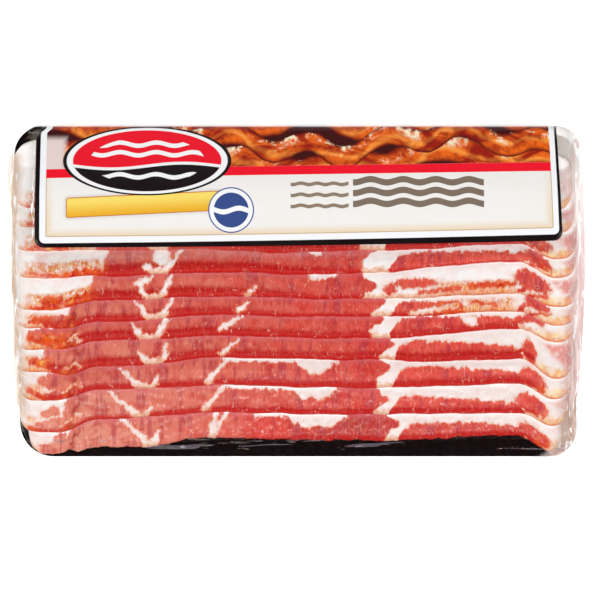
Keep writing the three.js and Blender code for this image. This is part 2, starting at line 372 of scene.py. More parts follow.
# Where the orange of the cured side fades out along each left end, and how strong it is
CURED_TO = (-121.0, -124.0, -121.0, -117.0, -107.0, -118.0, -97.0, -92.0, -98.0, -98.0, -98.0)
CURED = (0.1, 0.6, 0.9, 0.95, 1.0, 0.9, 1.0, 1.0, 0.9, 0.8, 0.7)
# The rind left of here is all white fat
LEFT_RIND = -130.5
# How much pink shows above each right tip
BLUSH = (0.3, 0.6, 0.35, 1.0, 0.35, 0.6, 1.0, 0.8, 1.0, 0.9, 0.4)
# Tone of the lean at places along the slice: at the left, in the middle and at the right
TONE_AT = (-125.0, -95.0, -50.0, 5.0, 50.0)
LEFT_TONE = (0.05, 0.05, 0.3, 0.3, 0.5, 0.32, 0.45, 0.5, 0.5, 0.5, 0.5)
MIDDLE_TONE = (0.5, 0.45, 0.45, 0.45, 0.6, 0.6, 0.55, 0.75, 0.8, 0.8, 0.8)
LOWEST_RIGHT_TONE, RIGHT_TONE = (1.25, 1.3), (0.85, 0.95)
# Width of the deep red band at places along the slice: the cut's own red, and painted shade where the edge
# turns down out of the light
CUT_AT = (-90.0, -50.0, 10.0, 65.0)
CUT_AND_SHADE_BAND = (
    (-2.0, -2.0, 2.4, 2.6),
    (1.8, 3.4, 3.4, 3.5),
    (3.2, 3.3, 3.5, 4.0),
    (4.6, 4.2, 3.7, 4.6),
    (5.0, 4.8, 3.4, 3.2),
    (3.8, 4.4, 1.8, 2.5),
    (5.2, 5.4, 2.5, 2.5),
    (6.0, 5.8, 3.8, 0.6),
    *((5.0, 5.0, 4.0, 3.4),) * 3,
)
# Loop of fat left of the middle: tops of its two horns, and its lump's start, end and height
LOOP_LEFT_TOP = (
    (-85.6, 14.0),
    (-90.4, 13.0),
    (-85.1, 10.1),
    (-76.9, 6.3),
    (-79.8, 8.0),
    (-77.4, 9.2),
    (-76.9, 9.0),
    (-73.0, 5.3),
    (-73.0, 8.0),
    (-72.0, 8.0),
    (-70.0, 8.0),
)
LOOP_RIGHT_TOP = (
    (-67.2, 7.2),
    (-69.7, 4.8),
    (-67.2, 5.8),
    (-63.4, 8.7),
    (-62.4, 9.9),
    (-60.0, 9.6),
    (-60.5, 10.6),
    (-56.2, 11.0),
    (-58.0, 9.0),
    (-58.0, 9.0),
    (-58.0, 9.0),
)
LOOP_BASE = (
    (-76.4, -66.3, 7.0),
    (-79.8, -71.1, 3.6),
    (-79.3, -66.8, 4.4),
    (-75.0, -62.4, 5.0),
    (-77.4, -64.8, 4.5),
    (-74.8, -61.5, 4.6),
    (-75.4, -62.4, 4.3),
    (-73.5, -60.5, 4.8),
    (-72.5, -60.5, 4.5),
    (-72.0, -60.0, 4.5),
    (-71.0, -59.0, 4.5),
)
# Streak of fat across the middle of the lower slices: place along the slice and height, at both ends
VEIN_TOP_X = (-34.0, -36.4, -34.5, -28.9, -26.9, -23.1, -20.1)
VEIN_LOW_X = (-41.0, -45.1, -43.4, -36.4, -37.0, -29.3, -24.4)
VEIN_TOP = (12.5, 12.0, 12.0, 8.4, 9.6, 6.2, 4.8)
VEIN_LOW = (2.0, 1.4, 1.4, 1.9, 3.4, 1.4, 1.0)
# Fat along the top of what shows of a slice: start, end, spread and depth
SEAM = {
    0: (-21.2, 23.9, 12.5, 4.8),
    1: (-36.4, 18.6, 9.6, 4.3),
    2: (-36.0, 20.0, 8.2, 5.3),
    6: (5.6, 18.6, 6.2, 1.2),
}
# Where the lean of the left half ends, and how high the notch in its end is
WEDGE_X = (42.2, 36.9, 37.8, 39.8, 34.9, 35.4, 30.6, 31.1, 30.0, 28.0, 30.0)
WEDGE_NOTCH = (8.2, 7.7, 9.6, 7.7, 9.6, 7.7, 6.3, 11.6, 9.0, 9.0, 9.0)
# Lens of lean in the fat of the right half: start, end and height, and the middle and radii of its tip
LENS_START = (48.4, 44.1, 45.6, 46.5, 43.6, 44.6, 42.2, 43.6, 42.0, 42.0, 42.0)
LENS_END = (110.0, 110.0, 110.0, 108.0, 107.0, 81.0, 43.2, 107.0, 110.0, 108.0, 104.0)
LENS_TOP = (8.4, 9.0, 10.4, 10.8, 9.8, 7.6, 6.0, 8.4, 9.0, 9.0, 9.0)
TIP_LOBE = (
    (114.5, 3.6, 8.0, 4.4),
    (113.0, 6.2, 8.0, 4.5),
    (113.6, 5.0, 6.6, 4.6),
    (111.6, 5.4, 3.4, 5.6),
    (114.5, 8.0, 4.6, 2.6),
    (115.0, 7.6, 6.0, 3.6),
    (113.0, 8.4, 9.0, 4.5),
    (115.5, 4.6, 7.2, 3.6),
    (115.0, 5.0, 7.0, 4.0),
    (114.0, 5.0, 7.0, 4.0),
    (114.0, 5.0, 6.0, 4.0),
)


def stroke(x, t, start, end, width):
    """Depth inside a streak from one point to another, wide at its start and end as given."""
    (x0, t0), (x1, t1) = start, end
    dx, dt = x1 - x0, t1 - t0
    share = np.clip(((x - x0) * dx + (t - t0) * dt) / (dx * dx + dt * dt), 0, 1)
    return lerp(width[0], width[1], share) - np.hypot(x - x0 - share * dx, t - t0 - share * dt)


def oval(x, t, centre, radii):
    """Depth inside an oval."""
    share = np.hypot((x - centre[0]) / radii[0], (t - centre[1]) / radii[1])
    return (1 - share) * min(radii)


def left_fat(k, x, t):
    """White rind side at the left end, with tongues of lean in it along the lower edge."""
    lean = x * 0 - 9
    for x0, t0, x1, t1, w0, w1 in LEFT_LEAN[k]:
        lean = np.maximum(lean, stroke(x, t, (x0, t0), (x1, t1), (w0 + 0.6, w1 + 0.6)))
    if k in (6, 7):
        top = (4.8 if k == 6 else 3.4) + 0.9 * np.sin(x * 1.1)
        lean = np.maximum(lean, np.minimum(x + 112.0, top - t))
    lean = np.minimum(lean, x - LEFT_RIND)
    return np.minimum(LEFT_FAT[k] - x + 0.25 * (t - 8), -lean)


def loop_fat(k, x, t):
    """A lump of fat at the lower edge with two horns curling up from it."""
    first, last, high = LOOP_BASE[k]
    middle, half = (first + last) / 2, (last - first) / 2
    roof = high * (0.62 + 0.38 * ((x - middle) / half) ** 2)
    foot = half * (0.72 + 0.28 * smooth(t, 0, 3.5))
    fat = np.minimum(foot - np.abs(x - middle - 0.5 * np.sin(t + k)), roof - t)
    fat = np.maximum(fat, stroke(x, t, LOOP_LEFT_TOP[k], (first + 2, high * 0.6), (0.7, 1.6)))
    fat = np.maximum(fat, stroke(x, t, LOOP_RIGHT_TOP[k], (last - 2, high * 0.6), (0.7, 1.6)))
    if k == 6:
        fat = np.maximum(fat, stroke(x, t, (-69.7, 10.6), (-76.6, 8.0), (1.0, 1.9)))
    if k == 7:
        fat = np.maximum(fat, oval(x, t, (-65.2, 8.0), (4.0, 4.4)))
    return fat


def vein_fat(k, x, t, band):
    """Streaks that cross the lean in the middle, and the seam along the top of the lower slices."""
    fat = x * 0 - 9
    if k < len(VEIN_TOP):
        top, low = (VEIN_TOP_X[k], VEIN_TOP[k]), (VEIN_LOW_X[k], VEIN_LOW[k])
        fat = np.maximum(fat, stroke(x, t, top, low, (0.9, 1.3)))
    if k == 0:
        fat = np.maximum(fat, stroke(x, t, (-39.8, 12.5), (-41.5, 1.0), (0.9, 2.2)))
    if k in SEAM:
        first, last, spread, deep = SEAM[k]
        swell = np.clip(1 - ((x - 8.4) / spread) ** 2, 0, 1) ** 0.5
        down = 1.5 + deep * swell * (0.75 + 0.35 * np.abs(np.sin(x / 3.1 + k)))
        fat = np.maximum(fat, np.minimum(np.minimum(x - first, last - x) * 0.5, t - (band - down)))
    if k == 7:
        fat = np.maximum(fat, oval(x, t, (8.4, 11.0), (3.2, 2.0)))
    return fat


def right_lean(k, x, t):
    """Depth in the lens of lean of the right half, its thin neck and the lobe past it."""
    rise = np.sqrt(np.clip((x - LENS_START[k]) / 8, 0, 1))
    along = np.clip((x - LENS_START[k]) / 62, 0, 1)
    close = np.sqrt(np.clip((LENS_END[k] - x) / 5, 0, 1))
    top = LENS_TOP[k] * rise * (1 - 0.46 * along**1.6) * close
    lens = np.minimum(top - t, t + 3)
    lens = np.where((x > LENS_START[k]) & (x < LENS_END[k]), lens, -9)
    centre_x, centre_t, radius_x, radius_t = TIP_LOBE[k]
    lens = np.maximum(lens, oval(x, t, (centre_x, centre_t), (radius_x, radius_t)))
    if k not in (5, 6):
        lens = np.maximum(lens, stroke(x, t, (102, 2.4), (centre_x, centre_t), (1.6, 1.8)))
    if k > 4:
        lens = np.maximum(lens, stroke(x, t, (107.0, 1.5), (118.5, 10.0), (1.6, 0.8)))
        lens = np.maximum(lens, stroke(x, t, (112.0, 0.5), (122.0, 5.5), (1.0, 0.5)))
    if k == 4:
        lens = np.minimum(lens, -stroke(x, t, (79.0, 8.5), (84.0, 4.6), (1.0, 2.4)))
    if k == 5:
        lens = np.minimum(lens, -stroke(x, t, (55.5, 1.8), (76.0, 4.2), (1.5, 1.2)))
        lens = np.maximum(lens, stroke(x, t, (84.0, 5.2), (96.0, 3.0), (1.0, 0.7)))
    if k == 6:
        lens = np.maximum(lens, oval(x, t, (56.6, 7.2), (10.6, 2.4)))
        lens = np.maximum(lens, oval(x, t, (44.6, 4.2), (3.2, 2.8)))
        lens = np.maximum(lens, stroke(x, t, (58.0, 3.1), (78.0, 3.4), (0.8, 1.2)))
        lens = np.maximum(lens, stroke(x, t, (82.4, 4.4), (103.0, 4.8), (1.7, 1.4)))
    return lens


def marbling(k, x, t, band):
    """Depth in the fat over a slice. band is how much of the slice shows, up to the next one's edge."""
    x = x + 0.6 * ripple(x, t, 7, 100 + k) + 0.3 * ripple(x, t, 2.6, 110 + k)
    t = t + 0.4 * ripple(x, t, 5, 120 + k) + 0.45 * ripple(x, 0.4 * t, 2.4, 130 + k)
    fat = np.maximum(left_fat(k, x, t), np.maximum(loop_fat(k, x, t), vein_fat(k, x, t, band)))
    if 0 < k < 5:
        fat = np.maximum(fat, stroke(x, t, (-114.6 + k, 3.4), (-110.4 + k, 5.4), (0.4, 0.8)))
        fat = np.maximum(fat, stroke(x, t, (-107.4, 8.0 - k), (-104.2, 5.4 - k), (0.3, 0.5)))
    boundary = WEDGE_X[k] + 7.2 * np.exp(-(((t - WEDGE_NOTCH[k]) / 3.4) ** 2))
    return np.maximum(fat, np.minimum(x - boundary, -right_lean(k, x, t)))


def lean_tone(k, x, t):
    """0 for the pale salmon muscle at the left, 1 for the red one further right, more for a dark red."""
    right = LOWEST_RIGHT_TONE if k == 0 else RIGHT_TONE
    tone = np.interp(x, TONE_AT, (LEFT_TONE[k], LEFT_TONE[k], MIDDLE_TONE[k], *right))
    return np.clip(tone + 0.1 * ripple(x, t, 14, 140 + k), 0, 1.4)


def cut_and_shade_band(k, x):
    """How far up from the lower edge the deep red goes: the cut's own red, and painted shade where the
    edge turns down out of the light.
    """
    return np.interp(x, CUT_AT, CUT_AND_SHADE_BAND[k])


def smoke(k, x, t):
    """Orange of the cured rind side: at the left ends, at the right tips and in flecks between them."""
    left = CURED[k] * (1 - smooth(x, CURED_TO[k] - 5, CURED_TO[k] + 3)) * (1 - smooth(t, 6.5, 9))
    left = left * smooth(x, LEFT_RIND - 3, LEFT_RIND + 1.5)
    knot = 0.95 * np.exp(-(((x + 111 - 0.4 * t) / 3.4) ** 2)) * (1 - smooth(t, 5, 7)) * (0 < k < 6)
    tip = smooth(x, 113, 120) * (1 - smooth(t, 3.6, 6.0))
    flecks = 0.95 * smooth(x, 60, 74) * (1 - smooth(x, 100, 108)) * (1 - smooth(t, 6, 8)) * (k in (5, 6))
    patchy = 0.85 + 0.3 * ripple(x, t, 5, 160 + k)
    return np.clip(np.maximum(np.maximum(left, knot), np.maximum(tip, flecks)) * patchy, 0, 1)


def fold(k, x, t):
    """Painted shade along the line where the left end of a slice bends down."""
    line = LEFT_KINK - 2.4 + 0.35 * t + 1.2 * ripple(x, t, 6, 170 + k)
    return np.exp(-(((x - line) / 1.3) ** 2)) * (k < 6) * smooth(t, -1, 1.5)


def blush(k, x, t):
    """Pink that shows through the film above the right tips, down a slope towards the outer end."""
    right = BLUSH[k] * smooth(x, 115, 119) * smooth(t - 13 + 0.9 * (x - 121), -2.5, 2.5)
    return right + 0.4 * smooth(-x, 118, 122) * (1 - smooth(-x, 124, 128)) * (k > 6)


def back_trim(k, x):
    """How far the back edge of the topmost slices draws in at the pack's upper corners."""
    right = (0, 0, 0, 0, 0, 0, 0, 0, 2.0, 6.0, 7.0)[k]
    return 2.0 * (k > 8) * smooth(-x, 124, 136) + right * smooth(x, 114, 128)


def slice_stations(k):
    """Places along a slice: by angle round its ends, and even between them."""
    left, right = slice_ends(k)
    turn = np.linspace(0, math.pi / 2, 14)
    into = END_ROUND * (1 - np.cos(turn) ** (2 / 3))
    middle = np.linspace(left + END_ROUND, right - END_ROUND, 330)
    return np.concatenate((left + into[:-1], middle, (right - into[:-1])[::-1]))


def slice_piece(k, meat):
    """One slice: a closed skin round its section, thick lean and fat with a soft uneven face."""
    stations = slice_stations(k)
    edge_t = (0.0, 0.08, 0.2, 0.4, 0.6, 0.9, 1.2, 1.5, 1.9, 2.3, 2.8, 3.2)
    covered_t = np.linspace(18.5, SLICE_WIDTH - BACK_EDGE_ROUND, 9)
    face_t = np.concatenate((edge_t, np.arange(3.7, 17.5, 0.55), covered_t, [SLICE_WIDTH]))
    under_t = np.linspace(SLICE_WIDTH - BACK_EDGE_ROUND, 1.6, 12)
    round_t = np.concatenate((face_t, under_t, [0.4, 0.0]))
    face_height = slice_height(face_t, SETTLED_ROUND)
    height = np.concatenate((face_height, np.zeros(len(under_t)), [0.0, SETTLED_ROUND[0][1]]))
    is_face = np.concatenate((np.ones(len(face_t)), np.zeros(len(under_t) + 2)))

    def place(column, row):
        x = stations[column]
        narrowing, share = slice_narrowing(k, x)
        low = edge_y(k, x) + narrowing
        fit = (SLICE_WIDTH - 2 * narrowing - back_trim(k, x)) / SLICE_WIDTH
        y = low + round_t[row] * fit
        thickness = SLICE_THICKNESS * end_thickness(x) * (1 - 0.35 * share**2) * (1 - share**9)
        t = round_t[row]
        uneven = 0.1 * ripple(x, y, 4, 80 + k) + 0.07 * ripple(3 * x, y, 5, 90 + k)
        raised = height[row] * thickness + uneven * is_face[row] * smooth(t, 0.4, 2.5) * (1 - share)
        return np.column_stack((x, y, underside_z(k, x, y) + raised))

    bm = grid_mesh(len(stations) - 1, len(round_t) - 1, place)
    bmesh.ops.remove_doubles(bm, verts=bm.verts, dist=MERGE)
    bmesh.ops.recalc_face_normals(bm, faces=bm.faces)
    node = f"slice_{k + 1:02d}"
    made = piece(f"bacon_{node}", bm, [meat], [node])
    mark_slice(made, k)
    return made


def mark_slice(made, k):
    """Marks that the meat's colours follow, at each corner of a slice."""
    x, y, _ = corners_mm(made).T
    narrowing, _ = slice_narrowing(k, x)
    t = y - edge_y(k, x) - 0.6 * narrowing
    band = (edge_y(k + 1, x) - edge_y(k, x)) if k + 1 < len(EDGE_LEVEL) else 0 * x + 20
    mark(made, "fat", marbling(k, x, t, band))
    mark(made, "reach", t)
    mark(made, "tone", lean_tone(k, x, t))
    mark(made, "cut", cut_and_shade_band(k, x))
    mark(made, "smoke", smoke(k, x, t))
    mark(made, "tuck", band - t)
    mark(made, "blush", blush(k, x, t))
    mark(made, "fold", fold(k, x, t))


# Nodes


class Nodes:
    """A node tree with short calls: each returns the socket it makes."""

    def __init__(self, tree):
        self.tree = tree

    def add(self, kind, inputs=(), out=0, **settings):
        node = self.tree.nodes.new(kind)
        for key, value in settings.items():
            setattr(node, key, value)
        for key, value in dict(inputs).items():
            if isinstance(value, bpy.types.NodeSocket):
                self.tree.links.new(value, node.inputs[key])
            else:
                node.inputs[key].default_value = value
        return node.outputs[out] if node.outputs else None

    def math(self, operation, a, b=0.0):
        return self.add("ShaderNodeMath", {0: a, 1: b}, operation=operation)

    def span(self, value, low, high, to_low=0.0, to_high=1.0):
        inputs = {"Value": value, "From Min": low, "From Max": high, "To Min": to_low, "To Max": to_high}
        return self.add("ShaderNodeMapRange", inputs, interpolation_type="SMOOTHSTEP")

    def mix(self, share, a, b):
        return self.add("ShaderNodeMix", {0: share, 6: a, 7: b}, out=2, data_type="RGBA")

    def noise(self, where, scale, detail=2.0, roughness=0.5, distortion=0.0, turn=0.0):
        """Noise with its own scale along each axis, turned about the one out of the front."""
        inputs = {
            "Vector": self.stretch(where, scale, turn=turn),
            "Scale": 1.0,
            "Detail": detail,
            "Roughness": roughness,
            "Distortion": distortion,
        }
        return self.add("ShaderNodeTexNoise", inputs)

    def stretch(self, where, scale, offset=(0, 0, 0), turn=0.0):
        inputs = {"Vector": where, "Scale": scale, "Location": offset, "Rotation": (0, 0, turn)}
        return self.add("ShaderNodeMapping", inputs)

    def attribute(self, name):
        return self.add("ShaderNodeAttribute", out=2, attribute_name=name)

    def place(self):
        return self.add("ShaderNodeTexCoord", out=3)

    def axes(self, where):
        """The place's three parts, each a socket."""
        return self.add("ShaderNodeSeparateXYZ", {0: where}).node.outputs

    def bump(self, height, distance, strength):
        inputs = {"Height": height, "Distance": distance, "Strength": strength}
        return self.add("ShaderNodeBump", inputs)

    def use(self, tree, inputs):
        """Places a node group and returns its outputs."""
        return self.add("ShaderNodeGroup", inputs, node_tree=tree).node.outputs


def material(name):
    made = bpy.data.materials.new(name)
    made.use_nodes = True
    made.node_tree.nodes.clear()
    nodes = Nodes(made.node_tree)
    return made, nodes


def finish(nodes, inputs):
    shader = nodes.add("ShaderNodeBsdfPrincipled", inputs)
    nodes.add("ShaderNodeOutputMaterial", {"Surface": shader})


def group(name, inputs, outputs):
    """An empty node group with named sockets: returns it, its nodes, and its input sockets by name."""
    tree = bpy.data.node_groups.new(name, "ShaderNodeTree")
    for socket, kind, value in inputs:
        made = tree.interface.new_socket(name=socket, in_out="INPUT", socket_type=kind)
        if value is not None:
            made.default_value = value
    for socket, kind in outputs:
        tree.interface.new_socket(name=socket, in_out="OUTPUT", socket_type=kind)
    nodes = Nodes(tree)
    start = tree.nodes.new("NodeGroupInput")
    return tree, nodes, {s.name: s for s in start.outputs if s.name}


def end_group(nodes, results):
    end = nodes.tree.nodes.new("NodeGroupOutput")
    for key, value in results.items():
        nodes.tree.links.new(value, end.inputs[key])


# Meat


def meat_fields(n):
    """What the meat's colours follow: the slice's own marks, and uneven fields from fine to coarse."""
    marks = ("fat", "reach", "tone", "cut", "smoke", "tuck", "blush", "fold")
    field = SimpleNamespace(**{name: n.attribute(name) for name in marks})
    where = n.place()
    field.along, field.upward, _ = n.axes(where)
    field.fibres = n.noise(where, (1300, 300, 600), 3.0, 0.65)
    field.grit = n.noise(where, (900, 700, 800), 3.0, 0.7, turn=0.4)
    field.ragged = n.noise(where, (520, 420, 500), 3.0, 0.65)
    field.lumps = n.noise(where, (210, 150, 190), 2.0, 0.5)
    field.stripes = n.noise(where, (260, 46, 100), 2.0, 0.6, 0.4, turn=0.12)
    field.flames = n.noise(where, (210, 230, 220), 3.0, 0.6, 0.8, turn=-0.15)
    field.uneven = n.math("MULTIPLY", n.math("SUBTRACT", field.ragged, 0.5), 2.6)
    wander = n.math("MULTIPLY", n.math("SUBTRACT", field.fibres, 0.5), 2.4)
    wander = n.math("ADD", field.uneven, wander)
    field.fat_share = n.span(n.math("ADD", field.fat, wander), -0.5, 0.46)
    field.ragged_reach = n.math("ADD", field.reach, field.uneven)
    # share of the deep red band at the lower edge: the cut's own red, and painted shade
    field.edge = n.span(n.math("SUBTRACT", field.ragged_reach, field.cut), 1.5, -1.4)
    # thin white threads: partly fat fibres, partly painted glints, more of them in some places
    thread = n.noise(where, (320, 90, 150), 2.0, 0.5, 0.4, turn=0.6)
    thread = n.span(n.math("ABSOLUTE", n.math("SUBTRACT", thread, 0.5)), 0.015, 0.003)
    thready = n.span(n.noise(where, (260, 260, 200), 2.0), 0.5, 0.6)
    field.thread = n.math("MULTIPLY", thread, thready)
    return field


def lean_face(n, field):
    """Lean: salmon to red with purple stripes and pale fibres, a deep red cut edge with painted shade and
    highlight, and cured rust.
    """
    lean = n.mix(field.tone, paint(226, 146, 122), paint(221, 66, 58))
    lean = n.mix(n.span(field.tone, 1.0, 1.3), lean, paint(186, 58, 50))
    lean = n.mix(n.span(field.along, 0.04, 0.05, 0.0, 0.5), lean, paint(238, 88, 74))
    lean = n.mix(n.span(field.grit, 0.44, 0.66, 0.0, 0.4), lean, paint(232, 112, 98))
    lean = n.mix(n.span(field.stripes, 0.5, 0.64, 0.0, 0.66), lean, paint(176, 52, 72))
    lean = n.mix(n.span(field.lumps, 0.42, 0.7, 0.0, 0.5), lean, paint(194, 40, 36))
    lean = n.mix(n.span(field.fibres, 0.5, 0.74, 0.0, 0.5), lean, paint(240, 150, 128))
    # painted shade and highlight: the cut edge is painted darker where it turns down out of the light, and
    # a little brighter on its outermost rounding
    cut_red_and_painted_shade = n.mix(n.span(field.reach, 0.6, 2.4), paint(200, 26, 22), paint(184, 12, 14))
    cut_red_and_painted_shade = n.mix(n.span(field.fibres, 0.45, 0.7, 0.0, 0.42), cut_red_and_painted_shade, paint(222, 66, 48))
    lean = n.mix(n.math("MULTIPLY", field.edge, 0.94), lean, cut_red_and_painted_shade)
    rust = n.mix(n.span(field.flames, 0.34, 0.56), paint(202, 30, 12), paint(234, 92, 28))
    rust = n.mix(n.span(field.flames, 0.56, 0.68), rust, paint(248, 176, 84))
    cured = n.math("MULTIPLY", field.smoke, n.span(field.stripes, 0.36, 0.56, 0.6, 1.0))
    lean = n.mix(cured, lean, rust)
    # pale threads: partly fat fibres, partly painted glints
    lean = n.mix(n.math("MULTIPLY", field.thread, 0.62), lean, paint(246, 184, 164))
    beside_fat = n.span(field.fat, -1.3, -0.2, 0.0, 0.5)
    return n.mix(beside_fat, lean, paint(236, 108, 68))


def fat_face(n, field):
    """Fat: near white, tan where the cut edge turns down, amber at the rind, pink beside the lean."""
    # painted light: fat on the higher slices is painted whiter, to make up for less light reaching them
    painted_light_up_the_pack = n.span(field.upward, -0.05, 0.015)
    white = n.mix(painted_light_up_the_pack, paint(245, 233, 229), paint(255, 253, 252))
    warm = n.mix(painted_light_up_the_pack, paint(242, 224, 217), paint(253, 242, 238))
    fat = n.mix(n.span(field.lumps, 0.35, 0.7), white, warm)
    turned_down = n.math("ADD", field.reach, n.math("MULTIPLY", field.uneven, 1.5))
    tan = n.mix(n.span(field.ragged, 0.4, 0.6), paint(222, 144, 104), paint(238, 184, 146))
    fat = n.mix(n.span(turned_down, 3.8, 1.0, 0.0, 0.85), fat, tan)
    amber = n.mix(n.span(field.fibres, 0.4, 0.62), paint(222, 92, 34), paint(246, 188, 104))
    cream = n.mix(n.span(field.lumps, 0.36, 0.62), paint(240, 170, 106), paint(253, 220, 164))
    cream = n.mix(n.span(field.along, 0.1275, 0.1315, 0.0, 0.8), cream, paint(244, 146, 72))
    amber = n.mix(n.span(field.along, 0.106, 0.112), amber, cream)
    amber = n.mix(n.span(field.ragged_reach, 1.5, 0.5, 0.0, 0.8), amber, paint(226, 96, 52))
    cured = n.math("MULTIPLY", field.smoke, n.span(field.ragged, 0.32, 0.52))
    fat = n.mix(cured, fat, amber)
    return n.mix(n.span(field.fat, 1.5, -0.3, 0.0, 0.62), fat, paint(240, 176, 152))


def meat_material():
    """Raw streaky bacon: marbled lean and fat, with a painted pale glare where the film bridges to the
    next slice, and a painted glow in the creases between the slices.
    """
    made, n = material("raw streaky bacon")
    field = meat_fields(n)
    share = field.fat_share
    colour = n.mix(share, lean_face(n, field), fat_face(n, field))
    pink = n.math("MULTIPLY", field.blush, n.span(field.ragged, 0.34, 0.52, 0.35, 1.0))
    colour = n.mix(pink, colour, paint(236, 154, 145))
    # painted shade: dark red along the bend of the left ends, where shade falls
    painted_bend_shade = n.math("MULTIPLY", field.fold, n.math("SUBTRACT", 1.0, share))
    painted_bend_shade = n.math("MULTIPLY", painted_bend_shade, n.span(field.ragged, 0.35, 0.6, 0.3, 0.9))
    colour = n.mix(painted_bend_shade, colour, paint(166, 36, 28))
    # painted highlight: where the film bridges the step under the next slice, its glare is painted on the
    # face as a paler, lilac band
    painted_film_glare = n.math("ADD", n.math("MULTIPLY", share, 0.45), 0.5)
    painted_film_glare = n.math("MULTIPLY", n.span(field.tuck, 2.6, 0.3), painted_film_glare)
    colour = n.mix(painted_film_glare, colour, n.mix(share, paint(218, 108, 120), paint(255, 250, 248)))
    relief = n.math("ADD", n.math("MULTIPLY", field.fibres, 0.5), n.math("MULTIPLY", field.lumps, 0.9))
    relief = n.math("ADD", relief, n.math("MULTIPLY", field.thread, 0.3))
    relief = n.math("ADD", n.math("MULTIPLY", share, 0.4), relief)
    # painted light: the meat glows a little in the creases between the slices and along their lower edges,
    # more at the right tips, to lift the shade there
    painted_crease_glow = n.span(field.tuck, 0.9, -0.1, 0.0, 0.15)
    painted_crease_glow = n.math("MAXIMUM", painted_crease_glow, n.span(field.reach, 0.5, 0.0, 0.0, 0.15))
    painted_crease_glow = n.math("MULTIPLY", painted_crease_glow, n.span(field.along, 0.108, 0.116, 1.0, 2.2))
    # wet patches, fewer on the cut edge
    wet = n.span(field.grit, 0.48, 0.66, 0.04, 0.7)
    wet = n.math("MULTIPLY", wet, n.span(field.edge, 0.1, 0.7, 1.0, 0.15))
    finish(
        n,
        {
            "Base Color": colour,
            "Emission Color": colour,
            "Emission Strength": painted_crease_glow,
            "Roughness": n.span(field.fibres, 0.2, 0.8, 0.36, 0.5),
            "Specular IOR Level": 0.12,
            "Coat Weight": wet,
            "Coat Roughness": 0.1,
            "Subsurface Weight": 0.06,
            "Subsurface Radius": (1.0, 0.35, 0.2),
            "Subsurface Scale": 0.001,
            "Normal": n.bump(relief, 0.0006, 0.6),
        },
    )
    return made


# Card and its print


def panel_row(y, u):
    """A row across the card's back panel, with its upper right corner above the fold's middle."""
    lifted = y + (CARD_HALF - FOLD_CENTRE_Y) * smooth(y, 40, 76) if y > 0 else y
    left = card_edges(np.array(y))[0]
    right = card_edges(np.array(lifted))[1]
    x = lerp(left, right, u)
    return np.column_stack((x, 0 * x + y, 0 * x + CARD_MIDDLE))


def fold_row(angle, u):
    y = FOLD_CENTRE_Y + FOLD_RADIUS * math.sin(angle)
    x = lerp(roll_left(y) if angle < math.pi / 2 else ROLL_LEFT, FOLD_RIGHT, u)
    z = CARD_MIDDLE + FOLD_RADIUS * (1 - math.cos(angle))
    return np.column_stack((x, 0 * x + y, 0 * x + z))


def flap_row(share, u):
    left, right = flap_sides(share)
    x = lerp(left, right, u)
    y = lerp(FOLD_END_Y, flap_end_y(x) + FLAP_CORNER, share)
    return np.column_stack((x, y, flap_z(x, y)))


def flap_end_row(rise, u):
    """A row in the flap's lower end, between its rounded corners."""
    inset = corner_inset(rise, FLAP_CORNER)
    x = lerp(FLAP_LEFT + inset, FLAP_RIGHT_BOTTOM - inset, u)
    y = flap_end_y(x) + rise
    return np.column_stack((x, y, flap_z(x, y)))


def card_piece():
    """One folded sheet: up the back panel, round the fold, and down the flap to its rounded end."""
    grain = paper_grain_group()
    lining = lining_material()
    materials = [label_material(grain), back_material(grain), lining, lining]
    columns = 150
    near_corner = CORNER_BOTTOM_LEFT * np.linspace(0, 1, 15) ** 1.7
    lower = np.concatenate((near_corner, np.linspace(20, 140, 12))) - CARD_HALF
    upper = FOLD_CENTRE_Y - CORNER_TOP_LEFT * np.linspace(1, 0, 12)
    panel = np.concatenate((lower[lower < upper[0] - 2], upper))
    turn = np.linspace(0, math.pi - FLAP_SLOPE, 15)[1:]
    flap = np.concatenate((np.linspace(0, 0.15, 12)[1:], np.linspace(0.17, 1, 44)[:-1]))
    end = FLAP_CORNER * (1 - np.sin(np.linspace(0, math.pi / 2, 9)))
    rows = [
        *((panel_row, y) for y in panel),
        *((fold_row, angle) for angle in turn),
        *((flap_row, share) for share in flap),
        *((flap_end_row, rise) for rise in end),
    ]

    def place(column, row):
        points = np.zeros((len(row), 3))
        for index, (points_of, value) in enumerate(rows):
            at = row == index
            points[at] = points_of(value, column[at] / columns)
        return points

    bm = grid_mesh(columns, len(rows) - 1, place)
    bmesh.ops.remove_doubles(bm, verts=bm.verts, dist=MERGE)
    for face in bm.faces:
        middle = face.calc_center_median() / MM
        on_back = middle.z < FOLD_RADIUS and middle.y < FOLD_CENTRE_Y - 0.5
        face.material_index = 1 if on_back else 0
    top = max(bm.faces, key=lambda f: f.calc_center_median().z)
    if top.normal.z < 0:
        bmesh.ops.reverse_faces(bm, faces=bm.faces)
    made = piece("card_folded", bm, materials, ["card"])
    solid = made.modifiers.new("card thickness", "SOLIDIFY")
    solid.thickness = CARD * MM
    solid.offset = 0
    solid.use_even_offset = True
    solid.material_offset = 2
    solid.material_offset_rim = 2
    return made


